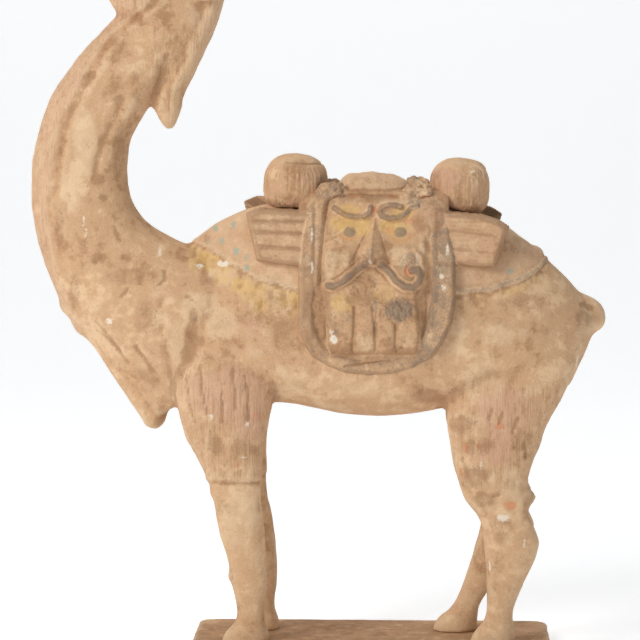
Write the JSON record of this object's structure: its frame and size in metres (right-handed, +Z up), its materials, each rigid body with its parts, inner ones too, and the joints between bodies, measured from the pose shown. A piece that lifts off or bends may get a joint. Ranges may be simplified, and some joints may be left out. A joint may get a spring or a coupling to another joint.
{
  "type": "pottery camel figure",
  "caption": "Low-fired clay figure of a standing two-humped pack camel with an arched neck, saddle blanket, boards and a monster-mask pouch on each flank.",
  "frame": {"origin": "middle of the slab's underside", "axes": "+Z up, the head at -X, the tail at +X, the flank shown in the picture faces -Y"},
  "size_m": [0.4297, 0.128, 0.5544],
  "materials": {
    "clay": "matt, unglazed, with traces of cold paint and dried earth"
  },
  "bodies": {
    "root": {"camel_figure": "clay"}
  },
  "joints": []
}
